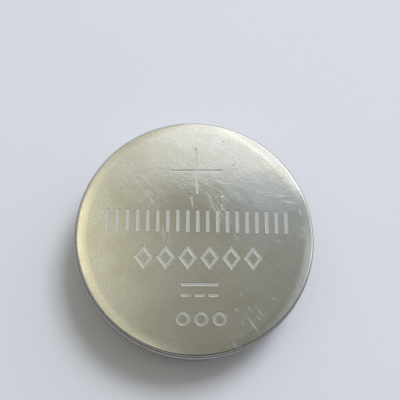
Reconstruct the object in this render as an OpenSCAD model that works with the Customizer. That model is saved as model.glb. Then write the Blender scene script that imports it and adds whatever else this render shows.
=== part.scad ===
// Lithium coin cell, cut open to its seven pieces.
// The cell lies on its negative terminal, z = 0, with its positive face on top.
// Every piece is a revolve about Z. Its section is drawn at the right of the axis,
// with x as the radius and y as the height.

/* [Cell] */
// Diameter of the cell over the wall of the can
cell_d = 23; // [16:0.1:30]
// Height of the cell from one terminal face to the other
cell_h = 5.4; // [5:0.1:9]

/* [Positive can] */
// Thickness of the can's steel sheet
can_sheet = 0.25; // [0.2:0.01:0.3]
// Outer radius of the corner between the positive face and the wall
can_corner_r = 0.35; // [0.32:0.01:0.6]
// Width of the ring in which the positive face falls away before the corner
face_fall_w = 0.85; // [0.5:0.05:1.05]
// How far the positive face falls over that ring
face_fall = 0.05; // [0.02:0.01:0.1]
// Height of the slightly narrower band below the positive face
band_h = 0.65; // [0.5:0.05:0.9]
// How far that band is set in from the wall
band_inset = 0.08; // [0.04:0.01:0.12]
// Angle by which the crimped lip leans in past level
lip_lean = 20; // [8:1:32]
// Length of the straight tip of the crimped lip
lip_tip = 0.1; // [0.05:0.01:0.2]

/* [Negative cap] */
// Thickness of the cap's steel sheet
cap_sheet = 0.25; // [0.2:0.01:0.3]
// How far the negative terminal stands out below the crimped lip
cap_proud = 0.5; // [0.3:0.05:0.9]
// Outer radius of the terminal's edge
cap_edge_r = 0.4; // [0.32:0.01:0.5]
// Radius of the hollow between the raised terminal and the shoulder
cap_root_r = 0.25; // [0.1:0.01:0.35]
// Draft angle of the raised terminal's side
cap_draft = 15; // [4:1:25]
// Width of the flat shoulder that the lip clamps
shoulder_w = 0.5; // [0.35:0.05:1]
// Outer radius of the corner between the shoulder and the skirt
shoulder_r = 0.5; // [0.35:0.05:0.7]

/* [Sealing gasket] */
// Thickness of the gasket between the can and the cap
gasket_wall = 0.35; // [0.25:0.01:0.45]
// Thickness of the gasket's foot under the end of the skirt
gasket_foot = 0.5; // [0.3:0.05:0.8]
// Thickness of the gasket's inner lip
gasket_lip = 0.3; // [0.2:0.02:0.4]
// Height of the inner lip along the skirt
gasket_lip_h = 0.9; // [0.4:0.1:1.4]
// How far the ring of gasket that shows bulges out
gasket_bulge = 0.04; // [0.01:0.01:0.08]

/* [Contents] */
// Height of the lithium disc
lithium_h = 1.4; // [0.8:0.05:1.6]
// Room between the lithium disc and the edge of the cap's floor
lithium_gap = 0.3; // [0.1:0.05:1]
// Radius of the lithium disc's pressed edges
lithium_edge_r = 0.12; // [0.05:0.01:0.3]
// Thickness of the separator felt
separator_t = 0.25; // [0.15:0.01:0.35]
// How far the separator stands up round the pellet
separator_rise = 0.9; // [0.5:0.05:1.1]
// Thickness of the collector ring's sheet
ring_sheet = 0.2; // [0.15:0.01:0.3]
// Height of the collector ring
ring_h = 1.2; // [0.6:0.05:1.4]
// Width of the collector ring's flange under the pellet's rim
ring_flange = 0.8; // [0.4:0.05:1.5]
// Room between the collector ring and the gasket's inner lip
ring_gap = 0.4; // [0.3:0.05:1]
// Radius of the pellet's pressed edge
pellet_edge_r = 0.15; // [0.05:0.01:0.3]

/* [Hidden] */
$fn = 128;

// Straight steps in each round stretch of a section
arc_steps = 10;

// Positive can: wall, band and the ring in which the face falls away
wall_r = cell_d / 2;
band_r = wall_r - band_inset;
fall_a = 2 * atan(face_fall / face_fall_w);
fall_r = face_fall_w / sin(fall_a);
face_flat_r = band_r - can_corner_r - (fall_r - can_corner_r) * sin(fall_a);
fall_c = [face_flat_r, cell_h - fall_r];
corner_c = fall_c + (fall_r - can_corner_r) * [sin(fall_a), cos(fall_a)];
band_z = cell_h - band_h;
can_floor_z = cell_h - can_sheet;

// Crimp: the lip is rolled round the cap's shoulder with the gasket between them
curl_r = shoulder_r + gasket_wall + can_sheet;
curl_c = [wall_r - curl_r, cap_proud + curl_r];
lip_a = -90 - lip_lean;

// Negative cap: shoulder, skirt and raised terminal
shoulder_z = curl_c.y - shoulder_r;
root_c = [curl_c.x - shoulder_w, shoulder_z - cap_root_r];
root_top = root_c + cap_root_r * [-cos(cap_draft), sin(cap_draft)];
edge_c = [
    root_top.x + ((cap_edge_r - root_top.y) * sin(cap_draft) - cap_edge_r) / cos(cap_draft),
    cap_edge_r
];
skirt_r = curl_c.x + shoulder_r;
skirt_in_r = skirt_r - cap_sheet;
skirt_end_z = can_floor_z - gasket_foot;

// Gasket: bore and lower end of its inner lip
gasket_bore_r = skirt_in_r - gasket_lip;
gasket_lip_z = skirt_end_z - gasket_lip_h;

// Contents, stacked from the cap's floor up to the can's floor
lithium_r = edge_c.x - lithium_gap;
separator_z = cap_sheet + lithium_h;
pellet_z = separator_z + separator_t;
ring_r = gasket_bore_r - ring_gap;
pellet_r = ring_r - ring_sheet;
flange_r = pellet_r - ring_flange;

// Points of a round stretch about c, from angle a0 to angle a1
function arc(c, r, a0, a1) = [
    for (i = [0:arc_steps])
        let (a = a0 + (a1 - a0) * i / arc_steps)
        c + r * [cos(a), sin(a)]
];

// Points of a shallow bow from p to q that stands out by h to the left of the way there
function bow(p, q, h) = [
    for (i = [0:arc_steps])
        let (u = i / arc_steps, left = [p.y - q.y, q.x - p.x] / norm(q - p))
        p + (q - p) * u + left * h * 4 * u * (1 - u)
];

// A list of points in the other order
function turned(points) = [for (i = [len(points) - 1:-1:0]) points[i]];

// Line through the can's sheet at depth d: face, corner, band, wall and crimped lip
function can_line(d) = concat(
    [[0, cell_h - d]],
    arc(fall_c, fall_r - d, 90, 90 - fall_a),
    arc(corner_c, can_corner_r - d, 90 - fall_a, 0),
    [
        [band_r - d, band_z - d * tan(22.5)],
        [wall_r - d, band_z - band_inset - d * tan(22.5)]
    ],
    arc(curl_c, curl_r - d, 0, lip_a),
    [lip_end(d)]
);

// End of the lip's straight tip at depth d
function lip_end(d) = curl_c
    + (curl_r - d) * [cos(lip_a), sin(lip_a)]
    + lip_tip * [sin(lip_a), -cos(lip_a)];

// Line through the cap's sheet at depth d: root of the raised terminal, shoulder and skirt
function shoulder_line(d) = concat(
    arc(root_c, cap_root_r + d, 180 - cap_draft, 90),
    arc(curl_c, shoulder_r - d, -90, 0),
    [[skirt_r - d, skirt_end_z]]
);

// The whole line through the cap's sheet at depth d, from the terminal's centre to the skirt's end
function cap_line(d) = concat(
    [[0, d]],
    arc(edge_c, cap_edge_r - d, -90, -cap_draft),
    shoulder_line(d)
);

// Drawn steel cup whose lip is curled in over the gasket
module positive_can() {
    color([0.80, 0.79, 0.73])
        rotate_extrude()
            polygon(concat(can_line(0), turned(can_line(can_sheet))));
}

// Moulded ring that fills the space between the can and the cap, wraps the end of the skirt
// and shows as a narrow ring beside the lip
module sealing_gasket() {
    color([0.90, 0.90, 0.86])
        rotate_extrude()
            difference() {
                polygon(concat(
                    can_line(can_sheet),
                    bow(lip_end(can_sheet), root_top, gasket_bulge),
                    shoulder_line(0),
                    [
                        [skirt_in_r, skirt_end_z],
                        [skirt_in_r, gasket_lip_z],
                        [0, gasket_lip_z]
                    ]
                ));
                translate([0, gasket_lip_z])
                    square([gasket_bore_r, cell_h]);
            }
}

// Pressed steel cup with a raised terminal, a shoulder for the crimp and a long skirt
module negative_cap() {
    color([0.74, 0.74, 0.72])
        rotate_extrude()
            polygon(concat(cap_line(0), turned(cap_line(cap_sheet))));
}

// Ring of L section that holds the pellet's rim and touches the can's floor
module collector_ring() {
    color([0.62, 0.63, 0.65])
        rotate_extrude() {
            translate([pellet_r, can_floor_z - ring_h])
                square([ring_sheet, ring_h]);
            translate([flange_r, can_floor_z - ring_sheet])
                square([ring_flange + ring_sheet, ring_sheet]);
        }
}

// Pressed pellet with a rebate for the collector ring's flange
module cathode_pellet() {
    color([0.16, 0.16, 0.17])
        rotate_extrude()
            polygon(concat(
                [[0, pellet_z]],
                arc([pellet_r - pellet_edge_r, pellet_z + pellet_edge_r], pellet_edge_r, -90, 0),
                [
                    [pellet_r, can_floor_z - ring_sheet],
                    [flange_r, can_floor_z - ring_sheet],
                    [flange_r, can_floor_z],
                    [0, can_floor_z]
                ]
            ));
}

// Line through the separator at depth d, from its centre to the end of its upstand
function separator_line(d) = concat(
    [[0, pellet_z - d]],
    arc([pellet_r - pellet_edge_r, pellet_z + pellet_edge_r], pellet_edge_r + d, -90, 0),
    [[pellet_r + d, pellet_z + separator_rise]]
);

// Felt dish round the foot of the pellet
module separator() {
    color([0.93, 0.92, 0.88])
        rotate_extrude()
            polygon(concat(separator_line(separator_t), turned(separator_line(0))));
}

// Disc of lithium pressed on the cap's floor
module lithium_anode() {
    color([0.66, 0.68, 0.72])
        rotate_extrude()
            polygon(concat(
                [[0, cap_sheet]],
                arc([lithium_r - lithium_edge_r, cap_sheet + lithium_edge_r], lithium_edge_r, -90, 0),
                arc([lithium_r - lithium_edge_r, separator_z - lithium_edge_r], lithium_edge_r, 0, 90),
                [[0, separator_z]]
            ));
}

positive_can();
sealing_gasket();
negative_cap();
collector_ring();
cathode_pellet();
separator();
lithium_anode();
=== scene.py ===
"""The looks of a lithium coin cell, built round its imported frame.

Lengths are given in millimetres and turned to metres where a mesh or a node needs them.
The sections of the can, the gasket and the cap repeat the values of the part's source.
"""

import math

import bmesh
import bpy
from mathutils import Matrix, Quaternion, Vector


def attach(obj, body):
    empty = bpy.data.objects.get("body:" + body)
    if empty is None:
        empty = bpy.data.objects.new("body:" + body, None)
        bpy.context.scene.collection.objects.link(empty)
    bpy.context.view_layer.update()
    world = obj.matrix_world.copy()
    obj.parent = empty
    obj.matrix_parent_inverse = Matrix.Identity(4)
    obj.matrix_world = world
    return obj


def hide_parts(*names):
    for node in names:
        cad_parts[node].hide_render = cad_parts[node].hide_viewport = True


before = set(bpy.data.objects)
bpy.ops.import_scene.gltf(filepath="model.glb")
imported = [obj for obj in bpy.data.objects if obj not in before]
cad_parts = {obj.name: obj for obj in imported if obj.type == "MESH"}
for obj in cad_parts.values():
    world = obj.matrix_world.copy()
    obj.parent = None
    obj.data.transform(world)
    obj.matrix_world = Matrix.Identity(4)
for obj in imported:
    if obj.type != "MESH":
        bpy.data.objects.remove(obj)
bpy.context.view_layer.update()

MM = 0.001
SCENE = bpy.context.scene

# Sizes of the cell, as in the part's source
CELL_D = 23.0
CELL_H = 5.4
CAN_SHEET = 0.25
CAN_CORNER_R = 0.35
FACE_FALL_W = 0.85
FACE_FALL = 0.05
BAND_H = 0.65
BAND_INSET = 0.08
LIP_LEAN = 20.0
LIP_TIP = 0.1
CAP_SHEET = 0.25
CAP_PROUD = 0.5
CAP_EDGE_R = 0.4
CAP_ROOT_R = 0.25
CAP_DRAFT = 15.0
SHOULDER_W = 0.5
SHOULDER_R = 0.5
GASKET_WALL = 0.35
GASKET_FOOT = 0.5
GASKET_LIP = 0.3
GASKET_LIP_H = 0.9
GASKET_BULGE = 0.04


def polar(degrees):
    """The unit step in a section at an angle from the radius."""
    return Vector((math.cos(math.radians(degrees)), math.sin(math.radians(degrees))))


# Positive can: wall, band and the ring in which the face falls away
WALL_R = CELL_D / 2
BAND_R = WALL_R - BAND_INSET
FALL_A = math.degrees(2 * math.atan(FACE_FALL / FACE_FALL_W))
FALL_R = FACE_FALL_W / math.sin(math.radians(FALL_A))
FACE_FLAT_R = BAND_R - CAN_CORNER_R - (FALL_R - CAN_CORNER_R) * math.sin(math.radians(FALL_A))
FALL_C = Vector((FACE_FLAT_R, CELL_H - FALL_R))
CORNER_C = FALL_C + (FALL_R - CAN_CORNER_R) * polar(90 - FALL_A)
BAND_Z = CELL_H - BAND_H

# How far the edges of the 45 degree step below the band shift for each millimetre of depth
BAND_SHIFT = math.tan(math.radians(45 / 2))

# Crimp: the lip is rolled round the cap's shoulder with the gasket between them
CURL_R = SHOULDER_R + GASKET_WALL + CAN_SHEET
CURL_C = Vector((WALL_R - CURL_R, CAP_PROUD + CURL_R))
LIP_SWEEP = 90 + LIP_LEAN

# Negative cap: shoulder, raised terminal and skirt
SHOULDER_Z = CURL_C.y - SHOULDER_R
ROOT_C = Vector((CURL_C.x - SHOULDER_W, SHOULDER_Z - CAP_ROOT_R))
ROOT_TOP = ROOT_C + CAP_ROOT_R * polar(180 - CAP_DRAFT)
EDGE_C = Vector((
    ROOT_TOP.x + ((CAP_EDGE_R - ROOT_TOP.y) * math.sin(math.radians(CAP_DRAFT)) - CAP_EDGE_R)
    / math.cos(math.radians(CAP_DRAFT)),
    CAP_EDGE_R,
))
SKIRT_R = CURL_C.x + SHOULDER_R
SKIRT_IN_R = SKIRT_R - CAP_SHEET
SKIRT_END_Z = CELL_H - CAN_SHEET - GASKET_FOOT

# Gasket: bore and lower end of its inner lip
GASKET_BORE_R = SKIRT_IN_R - GASKET_LIP
GASKET_LIP_Z = SKIRT_END_Z - GASKET_LIP_H

# Straight steps in each round stretch of a section, more on the sides that show
FALL_STEPS = 10
FALL_INNER_STEPS = 6
CORNER_STEPS = 14
CORNER_INNER_STEPS = 6
CURL_STEPS = 20
GASKET_TOP_STEPS = 4
GASKET_BULGE_STEPS = 8
ROOT_STEPS = 8
SHOULDER_STEPS = 12
SHOULDER_INNER_STEPS = 8
EDGE_STEPS = 12
EDGE_INNER_STEPS = 6
TURN_STEPS = 192

# A face whose corners differ less than this in height is level, and is shaded flat
LEVEL = 0.0005

# Points closer than this are one point
DOUBLES = 0.0005

# Edges sharper than this many degrees stay crisp
CREASE = 12

# Camera: the photograph's viewing angle
CAMERA_DISTANCE = 65.0
CAMERA_AZIMUTH = -20.58
CAMERA_ELEVATION = 75.98
CAMERA_AIM = Vector((0.352, 3.392, CELL_H))
CAMERA_ROLL = 18.53
CAMERA_LENS = 61.56


def set_camera():
    """Stands the camera over the positive face, a little to the left and in front."""
    azimuth = math.radians(CAMERA_AZIMUTH)
    elevation = math.radians(CAMERA_ELEVATION)
    back = Vector((
        math.sin(azimuth) * math.cos(elevation),
        -math.cos(azimuth) * math.cos(elevation),
        math.sin(elevation),
    ))
    place = Vector((0, 0, CELL_H)) + CAMERA_DISTANCE * back
    data = bpy.data.cameras.new("camera")
    data.lens = CAMERA_LENS
    data.sensor_width = 36
    data.clip_start = 1 * MM
    data.clip_end = 10
    camera = bpy.data.objects.new("camera", data)
    camera.location = place * MM
    camera.rotation_mode = "QUATERNION"
    level = (CAMERA_AIM - place).to_track_quat("-Z", "Y")
    camera.rotation_quaternion = level @ Quaternion((0, 0, 1), math.radians(CAMERA_ROLL))
    SCENE.collection.objects.link(camera)
    SCENE.camera = camera


set_camera()


def begin(section, radius, height):
    """The first point of a section, in the plane of X and Z."""
    return section.verts.new((radius * MM, 0, height * MM))


def straight(section, end, radius, height):
    """Draws a straight stretch from the section's end to a point."""
    end = bmesh.ops.extrude_vert_indiv(section, verts=[end])["verts"][0]
    end.co = (radius * MM, 0, height * MM)
    return end


def bend(section, end, centre, degrees, steps):
    """Draws a round stretch about a centre. A positive angle turns from up to outwards."""
    turned = bmesh.ops.spin(
        section,
        geom=[end],
        cent=(centre.x * MM, 0, centre.y * MM),
        axis=(0, 1, 0),
        angle=math.radians(degrees),
        steps=steps,
    )
    return turned["geom_last"][0]


def bulge(section, end, point, height, steps):
    """Draws a shallow bow to a point. It stands out to the left of the way there."""
    start = Vector((end.co.x, end.co.z)) / MM
    way = point - start
    left = Vector((-way.y, way.x)).normalized()
    radius = (way.length_squared / 4 + height ** 2) / (2 * height)
    centre = (start + point) / 2 - left * (radius - height)
    sweep = 2 * math.degrees(math.asin(way.length / 2 / radius))
    return bend(section, end, centre, sweep, steps)


def close(section, end, first):
    """Draws the last stretch, back to the section's first point."""
    section.edges.new((end, first))


def revolve(section):
    """Turns a drawn section once round the cell's axis, and closes its middle."""
    bmesh.ops.spin(
        section,
        geom=section.verts[:] + section.edges[:],
        axis=(0, 0, 1),
        angle=math.tau,
        steps=TURN_STEPS,
        use_merge=True,
    )
    bmesh.ops.remove_doubles(section, verts=section.verts, dist=DOUBLES * MM)


def finish_shell(shell, name, materials):
    """Points a closed shell's faces outwards, shades them and makes the piece's object."""
    bmesh.ops.remove_doubles(shell, verts=shell.verts, dist=DOUBLES * MM)
    bmesh.ops.recalc_face_normals(shell, faces=shell.faces)
    for face in shell.faces:
        heights = [vert.co.z for vert in face.verts]
        face.smooth = max(heights) - min(heights) > LEVEL * MM
    for edge in shell.edges:
        edge.smooth = edge.calc_face_angle(0) < math.radians(CREASE)
    mesh = bpy.data.meshes.new(name)
    shell.to_mesh(mesh)
    shell.free()
    piece = bpy.data.objects.new(name, mesh)
    for material in materials:
        mesh.materials.append(material)
    SCENE.collection.objects.link(piece)
    return piece


def linear(hex_colour):
    """An sRGB hex value as a linear colour with full alpha."""
    parts = [int(hex_colour[i:i + 2], 16) / 255 for i in (1, 3, 5)]
    parts = [c / 12.92 if c <= 0.04045 else ((c + 0.055) / 1.055) ** 2.4 for c in parts]
    return (*parts, 1)


def add(tree, kind, inputs=None, output=0, **settings):
    """Adds a node with its settings, sets or links its inputs, and gives one of its outputs."""
    node = tree.nodes.new("ShaderNode" + kind)
    for name, value in settings.items():
        setattr(node, name, value)
    for name, value in (inputs or {}).items():
        if isinstance(value, bpy.types.NodeSocket):
            tree.links.new(value, node.inputs[name])
        else:
            node.inputs[name].default_value = value
    return node.outputs[output] if node.outputs else None


def new_material(name):
    """An empty material, its tree and the object's points in millimetres."""
    material = bpy.data.materials.new(name)
    material.use_nodes = True
    tree = material.node_tree
    tree.nodes.clear()
    place = add(tree, "TexCoord", output="Object")
    point = add(tree, "Mapping", {"Vector": place, "Scale": (1 / MM, 1 / MM, 1 / MM)})
    return material, tree, point


def join_finish(tree, colour, roughness, relief, depth, fixed=None, strength=1.0):
    """Brings a finish together: its colour, its roughness, its relief of so many millimetres,
    and the values that are the same all over."""
    normal = add(tree, "Bump", {"Height": relief, "Strength": strength, "Distance": depth * MM})
    varied = {"Base Color": colour, "Roughness": roughness, "Normal": normal}
    surface = add(tree, "BsdfPrincipled", {**varied, **(fixed or {})})
    add(tree, "OutputMaterial", {"Surface": surface})


def grain(tree, point, along, across, degrees=0.0, detail=3.0, seed=0.0):
    """Noise with marks of a given length and width in millimetres, laid at an angle."""
    laid = add(
        tree,
        "Mapping",
        {
            "Vector": point,
            "Location": (seed, seed, 0),
            "Rotation": (0, 0, math.radians(degrees)),
            "Scale": (along, across, across),
        },
        vector_type="TEXTURE",
    )
    return add(tree, "TexNoise", {"Vector": laid, "Scale": 1.0, "Detail": detail}, output="Fac")


def patch(tree, point, x, y, length, width, degrees):
    """A soft oval on the positive face, 1 at its middle and 0 at its edge."""
    laid = add(
        tree,
        "Mapping",
        {
            "Vector": point,
            "Location": (x, y, CELL_H),
            "Rotation": (0, 0, math.radians(degrees)),
            "Scale": (length / 2, width / 2, 1.0),
        },
        vector_type="TEXTURE",
    )
    return add(tree, "TexGradient", {"Vector": laid}, output="Fac", gradient_type="SPHERICAL")


def inside(tree, *spans):
    """How far inside a region a place is, from 0 to 1. Each span of the region is a value,
    where it softly begins and where it is full."""
    share = 1.0
    for value, begins, full in spans:
        part = add(
            tree,
            "MapRange",
            {"Value": value, "From Min": begins, "From Max": full},
            interpolation_type="SMOOTHSTEP",
        )
        share = add(tree, "Math", {0: share, 1: part}, operation="MULTIPLY")
    return share


def strongest(tree, marks):
    """The strongest of many marks at each place. Each comes with its own strength."""
    found = 0.0
    for mark, strength in marks:
        shown = add(tree, "Math", {0: mark, 1: strength}, operation="MULTIPLY")
        found = add(tree, "Math", {0: found, 1: shown}, operation="MAXIMUM")
    return found


def build_up(tree, level, parts):
    """A level with so much of each pattern added to it."""
    for pattern, amount in parts:
        inputs = {0: pattern, 1: amount, 2: level}
        level = add(tree, "Math", inputs, operation="MULTIPLY_ADD")
    return level


# Sockets of a Mix node: the two numbers or the two colours that it mixes, and the mixed colour
NUMBER_A = 2
NUMBER_B = 3
COLOUR_A = 6
COLOUR_B = 7
MIXED_COLOUR = 2


def lay_tints(tree, base, tints):
    """A base colour with tints laid over it in turn: where each shows, how much, its colour."""
    colour = linear(base)
    for pattern, amount, tint in tints:
        share = add(tree, "Math", {0: pattern, 1: amount}, operation="MULTIPLY")
        inputs = {"Factor": share, COLOUR_A: colour, COLOUR_B: linear(tint)}
        colour = add(tree, "Mix", inputs, output=MIXED_COLOUR, data_type="RGBA")
    return colour


# Nearly all values of a grain lie in this span
GRAIN_SPAN = (0.3, 0.7)

# The span of a grain's values that leaves about a third of the surface blotched
BLOTCH_SPAN = (0.42, 0.68)

# Values that are the same all over a surface
METAL = {"Metallic": 1.0}
POLYPROPYLENE = {"IOR": 1.49}

# Single scratches on the positive face: x and y of both ends, width and strength.
# The real ones are about 0.03 mm wide, and are drawn wider so that they show.
SCRATCHES = [
    (-7.4, 7.0, -4.0, 3.2, 0.08, 0.40),
    (-6.6, 7.3, -5.8, 6.2, 0.09, 0.60),
    (-6.9, 6.2, -4.6, 3.9, 0.07, 0.40),
    (-8.3, 6.1, -5.9, 3.5, 0.07, 0.30),
    (-5.6, 6.3, -4.3, 4.7, 0.07, 0.40),
    (-5.4, 4.4, -3.6, 2.6, 0.07, 0.45),
    (-4.6, 5.2, -2.4, 2.7, 0.07, 0.35),
    (-3.9, 4.9, -2.6, 3.5, 0.07, 0.40),
    (1.1, 3.7, 2.6, 1.0, 0.10, 0.55),
    (1.5, 3.4, 3.2, 0.9, 0.09, 0.5),
    (1.9, 3.6, 3.0, 2.0, 0.09, 0.5),
    (0.9, 4.4, 1.7, 3.1, 0.08, 0.6),
    (2.1, 4.7, 3.3, 3.0, 0.08, 0.5),
    (-0.5, 3.6, -0.3, 2.6, 0.12, 0.7),
    (3.5, 0.3, 4.2, -0.7, 0.12, 0.6),
    (4.0, -5.4, 4.4, -5.9, 0.12, 0.7),
    (4.4, -7.3, 6.1, -9.7, 0.14, 1.0),
    (4.6, -6.6, 5.2, -7.3, 0.12, 0.7),
    (5.4, -6.6, 6.5, -8.1, 0.12, 0.8),
    (5.5, -7.5, 6.1, -8.2, 0.16, 0.6),
    (6.3, -7.1, 6.8, -7.8, 0.12, 0.5),
    (4.0, -8.0, 4.5, -8.7, 0.11, 0.7),
    (3.8, -9.0, 4.4, -10.0, 0.11, 0.5),
    (3.0, -9.3, 3.4, -10.2, 0.10, 0.4),
    (3.35, -10.05, 3.55, -10.45, 0.24, 1.0),
    (3.48, -10.40, 3.90, -10.58, 0.26, 1.0),
    (3.80, -10.58, 4.30, -10.42, 0.24, 1.0),
    (3.5, -6.95, 3.95, -7.25, 0.22, 0.8),
    (6.9, -6.1, 7.5, -6.0, 0.14, 0.6),
    (7.5, -0.45, 8.3, -0.55, 0.10, 0.7),
    (10.1, 1.1, 10.6, 0.3, 0.14, 0.7),
    (9.8, 0.2, 10.6, -0.2, 0.10, 0.6),
    (7.4, 4.1, 9.0, 4.0, 0.12, 0.8),
    (8.3, 3.5, 9.9, 3.3, 0.12, 0.7),
    (5.6, 4.5, 6.6, 4.3, 0.10, 0.5),
    (2.4, 5.4, 5.2, 2.8, 0.40, 0.14),
    (10.0, 2.8, 10.25, 2.0, 0.16, 0.6),
    (-3.3, 1.2, -3.0, -1.2, 0.10, 0.6),
    (-2.7, 0.9, -2.4, -1.5, 0.09, 0.5),
    (-9.6, -1.5, -8.4, -3.0, 0.10, 0.4),
    (-6.2, -5.0, -5.2, -6.4, 0.09, 0.4),
    (-3.0, -9.0, -1.8, -9.9, 0.09, 0.4),
]

# Small knocks on the positive face: x, y, size and strength
KNOCKS = [
    (2.53, 3.84, 0.30, 1.0),
    (2.50, 2.96, 0.26, 0.9),
    (3.10, 5.20, 0.20, 0.6),
    (8.30, 5.30, 0.24, 0.7),
    (4.28, 7.58, 0.18, 0.6),
    (-0.45, 3.60, 0.34, 0.7),
    (6.40, -9.67, 0.34, 1.0),
    (-8.6, 2.7, 0.22, 0.5),
    (5.10, 5.40, 0.20, 0.6),
    (5.56, 5.42, 0.20, 0.6),
    (2.43, 2.55, 0.20, 0.7),
    (5.84, 3.97, 0.18, 0.6),
    (2.27, 1.48, 0.18, 0.6),
]

# Dark pits on the positive face: x and y of both ends, and width
PITS = [
    (2.69, 9.40, 2.77, 9.47, 0.14),
    (3.50, 6.90, 3.90, 7.26, 0.06),
]

# Fields of fine parallel rubbing on the positive face:
# x, y, length, width, angle of the field, angle of the lines, strength
RUBBED_FIELDS = [
    (-5.6, 4.5, 8.0, 4.6, -48, -48, 0.95),
    (2.3, 2.8, 5.6, 3.4, -57, -57, 0.60),
    (7.4, 3.7, 7.5, 3.8, -6, 2, 0.80),
    (3.4, 4.9, 5.2, 2.2, -62, -62, 0.60),
    (-2.9, -0.2, 4.6, 3.0, 80, 82, 0.40),
    (5.6, -8.2, 5.0, 3.4, -55, -55, 0.45),
    (9.6, 0.4, 4.6, 2.2, 80, 10, 0.55),
    (6.6, -4.2, 11.0, 8.0, 4, 3, 0.55),
]

# A scratch fades towards its ends and sides, so its oval is drawn longer and wider
SCRATCH_LONGER = 1.2
SCRATCH_WIDER = 2.0


def run_of(x0, y0, x1, y1):
    """The middle, the length and the angle of a straight mark from one point to another."""
    length = math.hypot(x1 - x0, y1 - y0)
    degrees = math.degrees(math.atan2(y1 - y0, x1 - x0))
    return (x0 + x1) / 2, (y0 + y1) / 2, length, degrees


def scratched_face(tree, point):
    """How strongly each place on the positive face is scratched, from 0 to 1."""
    scratches = []
    for *ends, width, strength in SCRATCHES:
        x, y, length, degrees = run_of(*ends)
        longer = length * SCRATCH_LONGER
        line = patch(tree, point, x, y, longer, width * SCRATCH_WIDER, degrees)
        scratches.append((line, strength))
    return strongest(tree, scratches)


def knocked_face(tree, point):
    """How deeply each place on the positive face is knocked in, from 0 to 1."""
    knocks = []
    for x, y, size, strength in KNOCKS:
        knocks.append((patch(tree, point, x, y, size, size, 0), strength))
    return strongest(tree, knocks)


def pitted_face(tree, point):
    """The dark pits on the positive face, from 0 to 1."""
    pits = []
    for *ends, width in PITS:
        x, y, length, degrees = run_of(*ends)
        pits.append((patch(tree, point, x, y, length + width, width, degrees), 1.0))
    return strongest(tree, pits)


def rubbed_face(tree, point):
    """How strongly each place on the positive face is rubbed, from 0 to 1."""
    fields = []
    for number, (x, y, length, width, degrees, lines, strength) in enumerate(RUBBED_FIELDS):
        area = patch(tree, point, x, y, length, width, degrees)
        # Lines of about a millimetre, a tenth of a millimetre apart, different in each field
        hair = grain(tree, point, 0.8, 0.09, lines, seed=3.7 * number)
        fields.append((inside(tree, (area, 0.0, 0.6), (hair, 0.46, 0.72)), strength))
    return strongest(tree, fields)


def painted_dark_rim_line(tree, point):
    """Where a dark brown line is painted round the can's corner and band, from 0 to 1: a painted
    reflection of the dim walls and the shadowed floor.
    """
    height = add(tree, "SeparateXYZ", {"Vector": point}, output="Z")
    flat = add(tree, "VectorMath", {0: point, 1: (1, 1, 0)}, operation="MULTIPLY")
    radius = add(tree, "VectorMath", {0: flat}, output="Value", operation="LENGTH")
    return inside(
        tree,
        (radius, BAND_R - 0.15, BAND_R - 0.05),
        (height, BAND_Z - 0.06, BAND_Z - 0.02),
    )


def can_nickel_plate():
    """Nickel plate on deep-drawn steel, rolled satin: soft mirror, fine grain, handling marks,
    and a dark line painted round the rim as a reflection.
    """
    material, tree, point = new_material("nickel_plate_satin_drawn")
    # Grit of the rolls: real grain is about 0.02 mm, drawn at 0.2 mm so that it shows
    grit = grain(tree, point, 0.2, 0.2, detail=4.0)
    # Blotches of thin tarnish, 3 mm wide
    clouds = grain(tree, point, 3.0, 2.2, 20, detail=4.0, seed=5.0)
    blotch = inside(tree, (clouds, *BLOTCH_SPAN))
    # The sheet isn't quite flat after the draw: shallow waves, a millimetre or so across
    waves = grain(tree, point, 1.5, 0.9, -40, detail=2.0, seed=17.0)
    # A bluish haze of fine wear beside the plus sign
    haze = inside(tree, (patch(tree, point, 6.6, 4.2, 10.0, 5.2, -8), 0.0, 0.7))
    rubbed = rubbed_face(tree, point)
    pits = pitted_face(tree, point)
    knocks = knocked_face(tree, point)
    scratched = add(
        tree, "Math", {0: scratched_face(tree, point), 1: knocks}, operation="MAXIMUM"
    )
    # The rolls left lines along X on the face, some millimetres long. On the ironed wall,
    # below the band, the drawing die left upright ones, and less of the grit shows there.
    height = add(tree, "SeparateXYZ", {"Vector": point}, output="Z")
    wall = inside(tree, (height, BAND_Z, BAND_Z - BAND_INSET))
    rolled = grain(tree, point, 3.0, 0.14, 2, detail=2.0, seed=11.0)
    turned = add(tree, "Mapping", {"Vector": point, "Rotation": (0, math.tau / 4, 0)})
    drawn = grain(tree, turned, 5.0, 0.16, seed=8.0)
    lines = add(tree, "Mix", {"Factor": wall, NUMBER_A: rolled, NUMBER_B: drawn})
    shown = build_up(tree, 1.0, [(inside(tree, (wall, 0.0, 1.0)), -0.7)])
    speckle = add(
        tree, "Math", {0: inside(tree, (grit, 0.36, 0.64)), 1: shown}, operation="MULTIPLY"
    )

    colour = lay_tints(tree, "#D8D4C9", [
        (blotch, 1.0, "#D1CCBE"),
        # Below the band the wall is painted darker and bluer than the face: painted shade, and a
        # painted bluish reflection
        (wall, 0.8, "#C8CAD1"),
        (speckle, 0.34, "#BDB9AE"),
        (haze, 0.30, "#BFC8D0"),
        (rubbed, 0.4, "#CFDCE6"),
        (scratched, 0.45, "#E4EAEE"),
        (pits, 1.0, "#4A4640"),
        # Painted reflection: a dark line round the corner and band, where the metal would mirror
        # dim walls and shadowed floor
        (painted_dark_rim_line(tree, point), 0.92, "#544D47"),
    ])
    roughness = build_up(tree, 0.08, [
        (inside(tree, (grit, *GRAIN_SPAN)), 0.04),
        (blotch, 0.01),
        (haze, 0.03),
        (rubbed, 0.14),
        (scratched, 0.24),
    ])
    relief = build_up(tree, grit, [
        (lines, 0.1),
        (scratched, -0.6),
        (rubbed, -0.3),
        (pits, -2.0),
        (knocks, -3.0),
        (waves, 3.0),
    ])
    join_finish(tree, colour, roughness, relief, 0.0016, METAL)
    return material


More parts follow.
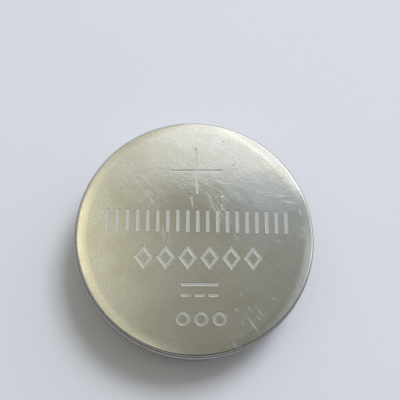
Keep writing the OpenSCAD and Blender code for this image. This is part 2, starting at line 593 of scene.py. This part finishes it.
def struck_nickel_plate():
    """The same plate where a die has struck it: frosted, so paler and even in the marks."""
    material, tree, point = new_material("nickel_plate_die_struck")
    # Grit of the die's etched face, 0.05 mm, drawn at 0.12 mm so that it shows
    grit = grain(tree, point, 0.12, 0.12, seed=2.0)
    # The marks are painted darker towards the lower edge
    ahead = add(tree, "SeparateXYZ", {"Vector": point}, output="Y")
    darker_to_lower_edge = inside(tree, (ahead, -3.0, -8.5))
    colour = lay_tints(tree, "#BFBEBB", [(grit, 1.0, "#D6D5D4"), (darker_to_lower_edge, 0.4, "#A9A79E")])
    roughness = build_up(tree, 0.33, [(inside(tree, (grit, *GRAIN_SPAN)), 0.09)])
    join_finish(tree, colour, roughness, grit, 0.004, METAL)
    return material


def cap_nickel_plate():
    """Nickel plate on a pressed steel cap: greyer satin with fine lines and a few rubs."""
    material, tree, point = new_material("nickel_plate_satin_pressed")
    # Grit as on the can, lines of the rolls some 4 mm long, and blotches 3 mm wide
    grit = grain(tree, point, 0.2, 0.2, detail=4.0, seed=7.0)
    rolled = grain(tree, point, 4.0, 0.15, 64, detail=2.0, seed=1.0)
    clouds = grain(tree, point, 3.5, 2.5, -30, detail=4.0, seed=9.0)
    blotch = inside(tree, (clouds, *BLOTCH_SPAN))
    # Rub marks of handling, 3 mm long and a tenth wide
    hair = grain(tree, point, 2.6, 0.12, -35, detail=2.0, seed=4.0)
    rubs = inside(tree, (hair, 0.60, 0.74))
    colour = lay_tints(tree, "#D0CDC5", [
        (blotch, 1.0, "#CAC7BE"),
        (grit, 0.35, "#BDBBB4"),
        (rubs, 0.5, "#E2E2DE"),
    ])
    roughness = build_up(
        tree, 0.18, [(inside(tree, (grit, *GRAIN_SPAN)), 0.07), (rubs, 0.16)]
    )
    relief = build_up(tree, grit, [(rolled, 1.0), (rubs, -1.0)])
    join_finish(tree, colour, roughness, relief, 0.0012, METAL)
    return material


def gasket_polypropylene():
    """Natural polypropylene, moulded: milky, waxy, slightly see-through at the surface."""
    material, tree, point = new_material("polypropylene_natural_moulded")
    # Milky clouds of half a millimetre, and the mould's spark grain of about 0.08 mm
    cloud = grain(tree, point, 0.6, 0.6, seed=3.0)
    fine = grain(tree, point, 0.08, 0.08, detail=2.0, seed=8.0)
    colour = lay_tints(tree, "#D9D8CF", [(cloud, 1.0, "#E6E5DD")])
    roughness = build_up(tree, 0.34, [(inside(tree, (cloud, *GRAIN_SPAN)), 0.12)])
    milky = {
        **POLYPROPYLENE,
        "Subsurface Weight": 0.3,
        "Subsurface Radius": (1.0, 0.9, 0.8),
        "Subsurface Scale": 0.3 * MM,
    }
    join_finish(tree, colour, roughness, fine, 0.003, milky)
    return material


def ring_stainless_steel():
    """Stainless steel strip, pressed: a bluish grey with lines along the strip."""
    material, tree, point = new_material("stainless_steel_pressed_strip")
    # Lines of the rolls, 4 mm long: real ones are finer, drawn a tenth wide so that they show
    lines = grain(tree, point, 4.0, 0.12, seed=6.0)
    colour = lay_tints(tree, "#9FA1A4", [(lines, 1.0, "#B4B6B8")])
    roughness = build_up(tree, 0.24, [(inside(tree, (lines, *GRAIN_SPAN)), 0.12)])
    join_finish(tree, colour, roughness, lines, 0.002, METAL)
    return material


def pellet_manganese_dioxide():
    """Manganese dioxide powder with carbon black, pressed: dull near-black with fine grains."""
    material, tree, point = new_material("manganese_dioxide_pressed_powder")
    # Powder grains: real ones are about 0.05 mm, drawn at 0.15 mm so that they show
    grains = grain(tree, point, 0.15, 0.15, detail=5.0, seed=1.0)
    colour = lay_tints(tree, "#1D1D1F", [(grains, 1.0, "#34332F")])
    roughness = build_up(tree, 0.70, [(inside(tree, (grains, *GRAIN_SPAN)), 0.22)])
    join_finish(tree, colour, roughness, grains, 0.02)
    return material


def separator_felt():
    """Polypropylene felt, blown and pressed: white, matt, with crossing fibres."""
    material, tree, point = new_material("polypropylene_felt_blown")
    # Fibres about 1 mm long: real ones are 0.01 mm thick, drawn at 0.06 mm so that they show
    one_way = grain(tree, point, 0.9, 0.06, 25, detail=2.0, seed=2.0)
    other_way = grain(tree, point, 0.9, 0.06, -50, detail=2.0, seed=6.0)
    fibres = add(tree, "Math", {0: one_way, 1: other_way}, operation="MAXIMUM")
    colour = lay_tints(tree, "#DAD8CF", [(fibres, 1.0, "#F0EEE8")])
    roughness = build_up(tree, 0.80, [(inside(tree, (fibres, 0.4, 0.8)), 0.15)])
    join_finish(tree, colour, roughness, fibres, 0.02, POLYPROPYLENE)
    return material


def lithium_rolled():
    """Lithium metal, rolled and punched: soft silver that has dulled to grey in patches."""
    material, tree, point = new_material("lithium_rolled")
    # Dulled patches 2 mm wide, and lines of the rolls 3 mm long
    clouds = grain(tree, point, 2.5, 1.5, 30, detail=4.0, seed=4.0)
    dulled = inside(tree, (clouds, 0.4, 0.7))
    lines = grain(tree, point, 3.0, 0.15, detail=2.0, seed=2.0)
    colour = lay_tints(tree, "#B4B8BF", [(dulled, 1.0, "#8E9197")])
    roughness = build_up(tree, 0.38, [(inside(tree, (dulled, 0.0, 1.0)), 0.22)])
    join_finish(tree, colour, roughness, lines, 0.004, METAL)
    return material


def floor_card():
    """Smooth card, uncoated: pale with a faint blue cast and a trace of fibre."""
    material, tree, point = new_material("card_uncoated_pale")
    # Fibres of the pulp, drawn 0.3 mm thick so that they show, and clouds 20 mm wide
    fibre = grain(tree, point, 0.6, 0.3, 15, seed=1.0)
    clouds = grain(tree, point, 22.0, 16.0, detail=2.0, seed=12.0)
    colour = lay_tints(tree, "#C4C3C5", [(fibre, 1.0, "#CAC9CB"), (clouds, 0.4, "#BFBEC2")])
    roughness = build_up(tree, 0.78, [(inside(tree, (fibre, *GRAIN_SPAN)), 0.10)])
    join_finish(tree, colour, roughness, fibre, 0.02, strength=0.4)
    return material


# The plus sign: its centre, the width of its stroke, how far the die was turned when it
# struck, and how far each arm reaches
PLUS_X = 0.03
PLUS_Y = 6.35
PLUS_STROKE = 0.24
PLUS_TURN = 1.8
PLUS_ARMS = {(1, 0): 2.56, (-1, 0): 2.56, (0, 1): 2.35, (0, -1): 2.35}

# Width of a bar's stroke, radius of its corners, the share of a lozenge or a ring that its bore
# takes, and the straight steps in a ring's outline
STROKE = 0.33
BAR_CORNER_R = 0.06
HOOP_BORE = 0.52
RING_STEPS = 40

# Width and depth of each step of a struck wall: the first rounds the wall's upper edge
STRUCK_STEPS = [(0.02, 0.006), (0.03, 0.019)]
PLUS_STEPS = [(0.030, 0.009), (0.065, 0.020)]


def on_face(x, y, width, height):
    """Where a mark of unit size goes on the positive face, and how large it gets."""
    place = Matrix.Translation(Vector((x, y, CELL_H)) * MM)
    return place @ Matrix.Diagonal((width * MM, height * MM, 1, 1))


def each_once(parts):
    """The parts in their first order, with repeats left out."""
    return list(dict.fromkeys(parts))


def outline_of(faces):
    """The edges round a group of flat faces."""
    edges = each_once(edge for face in faces for edge in face.edges)
    return [edge for edge in edges if sum(face in faces for face in edge.link_faces) == 1]


def bar(shell, x, y, width, height):
    """A plain bar with slightly rounded corners. Gives its faces and its outline."""
    corners = bmesh.ops.create_grid(
        shell, x_segments=1, y_segments=1, size=0.5, matrix=on_face(x, y, width, height)
    )["verts"]
    rounded = bmesh.ops.bevel(
        shell,
        geom=corners,
        offset=BAR_CORNER_R * MM,
        offset_type="OFFSET",
        segments=2,
        profile=0.5,
        affect="VERTICES",
        material=-1,
    )
    faces = each_once(face for vert in rounded["verts"] for face in vert.link_faces)
    return faces, outline_of(faces), []


def hoop(shell, x, y, width, height, corners):
    """A closed stroke between two outlines. Gives its faces, its outline and its bore."""
    outlines = []
    for share in (1.0, HOOP_BORE):
        verts = bmesh.ops.create_circle(
            shell,
            segments=corners,
            radius=0.5,
            matrix=on_face(x, y, width * share, height * share),
        )["verts"]
        outlines.append(each_once(edge for vert in verts for edge in vert.link_edges))
    faces = bmesh.ops.bridge_loops(shell, edges=outlines[0] + outlines[1])["faces"]
    return faces, outlines[0], outlines[1]


def lozenge(shell, x, y, width, height):
    """A hoop with four corners."""
    return hoop(shell, x, y, width, height, 4)


def ring(shell, x, y, width, height):
    """A round hoop."""
    return hoop(shell, x, y, width, height, RING_STEPS)


# Rows of plain marks below the plus sign: the mark, how many, x of the first, the distance
# from one to the next, y, width and height
MARK_ROWS = [
    # A ladder of upright bars
    (bar, 19, -8.4, 0.95, 1.32, STROKE, 2.15),
    (lozenge, 6, -4.95, 2.07, -2.2, 1.8, 2.35),
    # The sign for direct current: a line over three dashes
    (bar, 1, 0.3, 0.0, -4.75, 3.5, STROKE),
    (bar, 3, -1.0, 1.3, -5.75, 0.9, STROKE),
    (ring, 3, -1.25, 1.7, -7.9, 1.35, 1.35),
]


def plus_sign(shell):
    """The sign of the positive pole: four arms drawn out of a small square."""
    centre = Vector((PLUS_X, PLUS_Y, CELL_H)) * MM
    corners = bmesh.ops.create_grid(
        shell,
        x_segments=1,
        y_segments=1,
        size=0.5,
        matrix=on_face(PLUS_X, PLUS_Y, PLUS_STROKE, PLUS_STROKE),
    )["verts"]
    sides = each_once(edge for vert in corners for edge in vert.link_edges)
    faces = each_once(face for vert in corners for face in vert.link_faces)
    for (x, y), reach in PLUS_ARMS.items():
        way = Vector((x, y, 0))
        side = max(sides, key=lambda edge: sum((v.co - centre).dot(way) for v in edge.verts))
        grown = bmesh.ops.extrude_edge_only(shell, edges=[side])["geom"]
        ends = [part for part in grown if isinstance(part, bmesh.types.BMVert)]
        bmesh.ops.translate(shell, verts=ends, vec=way * (reach - PLUS_STROKE / 2) * MM)
        faces += [part for part in grown if isinstance(part, bmesh.types.BMFace)]
    bmesh.ops.rotate(
        shell,
        cent=centre,
        matrix=Matrix.Rotation(math.radians(PLUS_TURN), 3, "Z"),
        verts=each_once(vert for face in faces for vert in face.verts),
    )
    return faces, outline_of(faces), []


def draw_marks(shell):
    """Draws the rows of plain marks flat on the positive face."""
    marks = []
    for mark, count, first, pitch, y, width, height in MARK_ROWS:
        marks += [mark(shell, first + pitch * n, y, width, height) for n in range(count)]
    return marks


# The can's second material, on the faces that a die has struck
FROSTED = 1


def strike(shell, faces, steps):
    """Sinks flat faces into the plate, by steps of width and depth, and frosts them."""
    for face in faces:
        face.normal_update()
        if face.normal.z < 0:
            face.normal_flip()
    struck = list(faces)
    for width, depth in steps:
        struck += bmesh.ops.inset_region(
            shell,
            faces=faces,
            thickness=width * MM,
            depth=-depth * MM,
            use_boundary=True,
            use_even_offset=True,
        )["faces"]
    for face in struck:
        face.material_index = FROSTED


def lip_start(depth):
    """Where the round stretch of the lip ends and its straight tip begins."""
    return CURL_C + (CURL_R - depth) * polar(-LIP_SWEEP)


def lip_end(depth):
    """The end of the lip's straight tip."""
    return lip_start(depth) + LIP_TIP * polar(180 - LIP_LEAN)


def can_line_out(section, end, depth):
    """Draws the can's line from its corner to its lip, at a depth in the sheet."""
    shift = depth * BAND_SHIFT
    end = bend(section, end, CORNER_C, 90 - FALL_A, CORNER_STEPS)
    end = straight(section, end, BAND_R - depth, BAND_Z - shift)
    end = straight(section, end, WALL_R - depth, BAND_Z - BAND_INSET - shift)
    end = straight(section, end, WALL_R - depth, CURL_C.y)
    end = bend(section, end, CURL_C, LIP_SWEEP, CURL_STEPS)
    return straight(section, end, *lip_end(depth))


def can_line_back(section, end, depth):
    """Draws the can's line from its lip to the middle of its face, at a depth in the sheet."""
    shift = depth * BAND_SHIFT
    end = straight(section, end, *lip_end(depth))
    end = straight(section, end, *lip_start(depth))
    end = bend(section, end, CURL_C, -LIP_SWEEP, CURL_STEPS)
    end = straight(section, end, WALL_R - depth, BAND_Z - BAND_INSET - shift)
    end = straight(section, end, BAND_R - depth, BAND_Z - shift)
    end = straight(section, end, BAND_R - depth, CORNER_C.y)
    end = bend(section, end, CORNER_C, FALL_A - 90, CORNER_INNER_STEPS)
    end = bend(section, end, FALL_C, -FALL_A, FALL_INNER_STEPS)
    return straight(section, end, 0, CELL_H - depth)


def shoulder_line_out(section, end):
    """Draws the cap's outer line from the root of its terminal to its skirt's end."""
    end = bend(section, end, ROOT_C, 90 - CAP_DRAFT, ROOT_STEPS)
    end = straight(section, end, CURL_C.x, SHOULDER_Z)
    end = bend(section, end, CURL_C, -90, SHOULDER_STEPS)
    return straight(section, end, SKIRT_R, SKIRT_END_Z)


def positive_can():
    """Drawn steel cup whose lip is curled in over the gasket, with marks struck in its face."""
    shell = bmesh.new()
    end = begin(shell, FACE_FLAT_R, CELL_H)
    end = bend(shell, end, FALL_C, FALL_A, FALL_STEPS)
    end = can_line_out(shell, end, 0)
    can_line_back(shell, end, CAN_SHEET)
    revolve(shell)
    rim = [edge for edge in shell.edges if edge.is_boundary]
    marks = draw_marks(shell)
    plus_faces, plus_outline, _ = plus_sign(shell)
    outlines = [edge for _, outline, _ in marks for edge in outline] + plus_outline
    bmesh.ops.triangle_fill(shell, edges=rim + outlines, use_beauty=True)
    for _, _, bore in marks:
        if bore:
            bmesh.ops.triangle_fill(shell, edges=bore, use_beauty=True)
    strike(shell, [face for faces, _, _ in marks for face in faces], STRUCK_STEPS)
    strike(shell, plus_faces, PLUS_STEPS)
    return finish_shell(shell, "positive_can_nickel", [can_nickel_plate(), struck_nickel_plate()])


def sealing_gasket():
    """Moulded ring between the can and the cap. It shows as a narrow ring beside the lip."""
    shell = bmesh.new()
    radius = FALL_R - CAN_SHEET
    reached = math.degrees(math.asin((GASKET_BORE_R - FALL_C.x) / radius))
    top = FALL_C + radius * polar(90 - reached)
    first = begin(shell, *top)
    end = bend(shell, first, FALL_C, FALL_A - reached, GASKET_TOP_STEPS)
    end = can_line_out(shell, end, CAN_SHEET)
    end = bulge(shell, end, ROOT_TOP, GASKET_BULGE, GASKET_BULGE_STEPS)
    end = shoulder_line_out(shell, end)
    end = straight(shell, end, SKIRT_IN_R, SKIRT_END_Z)
    end = straight(shell, end, SKIRT_IN_R, GASKET_LIP_Z)
    end = straight(shell, end, GASKET_BORE_R, GASKET_LIP_Z)
    close(shell, end, first)
    revolve(shell)
    return finish_shell(shell, "sealing_gasket_moulded", [gasket_polypropylene()])


def negative_cap():
    """Pressed steel cup with a raised terminal, a shoulder for the crimp and a long skirt."""
    shell = bmesh.new()
    end = begin(shell, 0, 0)
    end = straight(shell, end, EDGE_C.x, 0)
    end = bend(shell, end, EDGE_C, CAP_DRAFT - 90, EDGE_STEPS)
    end = straight(shell, end, *ROOT_TOP)
    end = shoulder_line_out(shell, end)
    end = straight(shell, end, SKIRT_IN_R, SKIRT_END_Z)
    end = straight(shell, end, SKIRT_IN_R, CURL_C.y)
    end = bend(shell, end, CURL_C, 90, SHOULDER_INNER_STEPS)
    end = straight(shell, end, ROOT_C.x, SHOULDER_Z + CAP_SHEET)
    end = bend(shell, end, ROOT_C, CAP_DRAFT - 90, ROOT_STEPS)
    inner = EDGE_C + (CAP_EDGE_R - CAP_SHEET) * polar(-CAP_DRAFT)
    end = straight(shell, end, *inner)
    end = bend(shell, end, EDGE_C, 90 - CAP_DRAFT, EDGE_INNER_STEPS)
    straight(shell, end, 0, CAP_SHEET)
    revolve(shell)
    return finish_shell(shell, "negative_cap_nickel", [cap_nickel_plate()])


CELL_PIECES = [
    (positive_can, "positive_can", "can_steel"),
    (sealing_gasket, "sealing_gasket", "gasket_plastic"),
    (negative_cap, "negative_cap", "cap_steel"),
]
for make, cad_node, finish_slot in CELL_PIECES:
    piece = make()
    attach(piece, "root")
    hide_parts(cad_node)

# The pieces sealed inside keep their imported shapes
SEALED_PIECES = {
    "collector_ring": ring_stainless_steel,
    "cathode_pellet": pellet_manganese_dioxide,
    "separator": separator_felt,
    "lithium_anode": lithium_rolled,
}
for cad_node, make in SEALED_PIECES.items():
    material = make()
    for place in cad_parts[cad_node].material_slots:
        place.material = material

# Length of the floor's side
FLOOR_SIZE = 3000.0


def lay_floor():
    """A plain pale card under the cell."""
    sheet = bmesh.new()
    bmesh.ops.create_grid(sheet, x_segments=1, y_segments=1, size=FLOOR_SIZE / 2 * MM)
    mesh = bpy.data.meshes.new("floor")
    sheet.to_mesh(mesh)
    sheet.free()
    mesh.materials.append(floor_card())
    floor = bpy.data.objects.new("floor", mesh)
    SCENE.collection.objects.link(floor)


def lay_lights(tree, light, areas):
    """Lays areas of light over one another in turn. Each is its spans and its colour."""
    for spans, colour in areas:
        inputs = {"Factor": inside(tree, *spans), COLOUR_A: light, COLOUR_B: (*colour, 1)}
        light = add(tree, "Mix", inputs, output=MIXED_COLOUR, data_type="RGBA")
    return light


def ceiling_light(tree, across, ahead):
    """Overhead: cream at the left, olive grey in the middle, cool and brighter at the right."""
    light = lay_lights(tree, (0.85, 0.85, 0.71, 1), [
        ([(across, -0.14, 0.085)], (0.385, 0.39, 0.355)),
        ([(across, 0.08, 0.27)], (0.295, 0.305, 0.295)),
        ([(across, 0.10, 0.20), (ahead, 0.19, 0.28)], (0.43, 0.49, 0.545)),
        ([(across, 0.22, 0.44), (ahead, -0.32, 0.10)], (0.57, 0.63, 0.68)),
        ([(across, 0.45, 1.30), (ahead, -0.70, 0.20)], (1.15, 1.20, 1.26)),
    ])
    # It brightens towards the window, but for a dusky strip before it, and dims behind
    brightness = build_up(tree, 0.86, [
        (inside(tree, (ahead, 0.03, 0.22)), 0.24),
        (inside(tree, (ahead, 0.22, 0.275), (across, -0.06, 0.02)), -0.20),
    ])
    behind = build_up(tree, 1.0, [(inside(tree, (ahead, -0.35, -0.70)), -0.55)])
    brightness = add(tree, "Math", {0: brightness, 1: behind}, operation="MULTIPLY")
    return add(tree, "VectorMath", {0: light, "Scale": brightness}, operation="SCALE")


def window_light(tree, across, ahead):
    """The window: dimmer at its left end and towards its near edge."""
    light = lay_lights(tree, (0.74, 0.755, 0.69, 1), [
        ([(across, -0.07, 0.12)], (0.95, 1.01, 1.07)),
        ([(across, 0.17, 0.22), (across, 0.28, 0.23)], (1.20, 1.25, 1.30)),
    ])
    brightness = build_up(tree, 1.0, [
        (inside(tree, (ahead, 0.33, 0.42), (across, -0.16, 0.08)), 0.34),
        (inside(tree, (across, 0.40, 0.75)), 0.40),
    ])
    return add(tree, "VectorMath", {0: light, "Scale": brightness}, operation="SCALE")


# The least step up that a direction is measured by, so that level ones stay finite
LEAST_STEP_UP = 0.05

# The window's near edge slants away past this far across, by so much for each step across
SLANT_BEGINS = 0.25
SLANT = -0.5

# The way to the room's open side, at the right and ahead
OPEN_SIDE = (0.52, 0.46, 0.0)

# The way up that the walls' tops are measured along. They stand lower ahead.
WALL_UP = (-0.06, 0.28, 1.0)


def shape_room_light():
    """A soft room: a broad pale window ahead, a warm glow at the left, dim walls, pale low down.

    A direction is given by how far it leads across and ahead for each step up."""
    world = bpy.data.worlds.new("room")
    world.use_nodes = True
    SCENE.world = world
    tree = world.node_tree
    tree.nodes.clear()
    way = add(tree, "TexCoord", output="Generated")
    up = add(tree, "SeparateXYZ", {"Vector": way}, output="Z")
    step_up = add(tree, "Math", {0: up, 1: LEAST_STEP_UP}, operation="MAXIMUM")
    sideways = add(tree, "SeparateXYZ", {"Vector": way}, output="X")
    forwards = add(tree, "SeparateXYZ", {"Vector": way}, output="Y")
    across = add(tree, "Math", {0: sideways, 1: step_up}, operation="DIVIDE")
    ahead = add(tree, "Math", {0: forwards, 1: step_up}, operation="DIVIDE")

    # The window's near edge slants away at its right end
    beyond = add(tree, "Math", {0: across, 1: SLANT_BEGINS}, operation="SUBTRACT")
    beyond = add(tree, "Math", {0: beyond, 1: 0.0}, operation="MAXIMUM")
    edge = build_up(tree, ahead, [(beyond, SLANT)])
    window = {
        "Factor": inside(tree, (edge, 0.303, 0.332)),
        COLOUR_A: ceiling_light(tree, across, ahead),
        COLOUR_B: window_light(tree, across, ahead),
    }
    light = add(tree, "Mix", window, output=MIXED_COLOUR, data_type="RGBA")

    # The glow at the left lies past what the flat of the face shows. Below the window the
    # walls are dim, but less so on the open side, at the right and ahead.
    glow = [
        (across, -0.02, -0.32),
        (across, -0.80, -0.45),
        (ahead, -0.08, 0.22),
        (ahead, 0.58, 0.24),
    ]
    open_side = add(
        tree, "VectorMath", {0: way, 1: OPEN_SIDE}, output="Value", operation="DOT_PRODUCT"
    )
    height = add(
        tree, "VectorMath", {0: way, 1: WALL_UP}, output="Value", operation="DOT_PRODUCT"
    )
    opened = add(tree, "Math", {0: open_side, 1: 0.0}, operation="MAXIMUM")
    height = add(tree, "Math", {0: height, 1: opened}, operation="ADD")
    light = lay_lights(tree, light, [
        (glow, (1.38, 1.32, 0.97)),
        ([(height, 0.70, 0.52)], (0.10, 0.095, 0.095)),
    ])

    # Pale low down, all round at a few degrees up and higher on the open side
    low = add(
        tree,
        "Math",
        {0: inside(tree, (up, 0.23, 0.31)), 1: inside(tree, (open_side, 0.10, 0.40))},
        operation="MAXIMUM",
    )
    low = add(tree, "Math", {0: low, 1: inside(tree, (up, 0.03, 0.10))}, operation="MULTIPLY")
    pale = {"Factor": low, COLOUR_A: (0.66, 0.69, 0.78, 1), COLOUR_B: light}
    light = add(tree, "Mix", pale, output=MIXED_COLOUR, data_type="RGBA")
    shine = add(tree, "Background", {"Color": light, "Strength": 1.0})
    add(tree, "OutputWorld", {"Surface": shine})


def hang_lamp(name, way, elevation, roll, distance, size, power, colour):
    """A square soft lamp that faces the cell. The way to it is an angle from X in the floor."""
    data = bpy.data.lights.new(name, "AREA")
    data.shape = "SQUARE"
    data.size = size * MM
    data.energy = power
    data.color = linear(colour)[:3]
    lamp = bpy.data.objects.new(name, data)
    flat = math.cos(math.radians(elevation))
    towards = Vector((
        math.cos(math.radians(way)) * flat,
        math.sin(math.radians(way)) * flat,
        math.sin(math.radians(elevation)),
    ))
    lamp.location = (Vector((0, 0, CELL_H)) + distance * towards) * MM
    lamp.rotation_mode = "QUATERNION"
    level = (-towards).to_track_quat("-Z", "Y")
    lamp.rotation_quaternion = level @ Quaternion((0, 0, 1), math.radians(roll))
    # Bare metal mirrors the room alone
    lamp.visible_glossy = False
    SCENE.collection.objects.link(lamp)


lay_floor()
shape_room_light()
hang_lamp(
    "key_lamp",
    way=57.5,
    elevation=53.5,
    roll=45,
    distance=500,
    size=185,
    power=2.10,
    colour="#E9F1FF",
)
SCENE.view_settings.view_transform = "Standard"
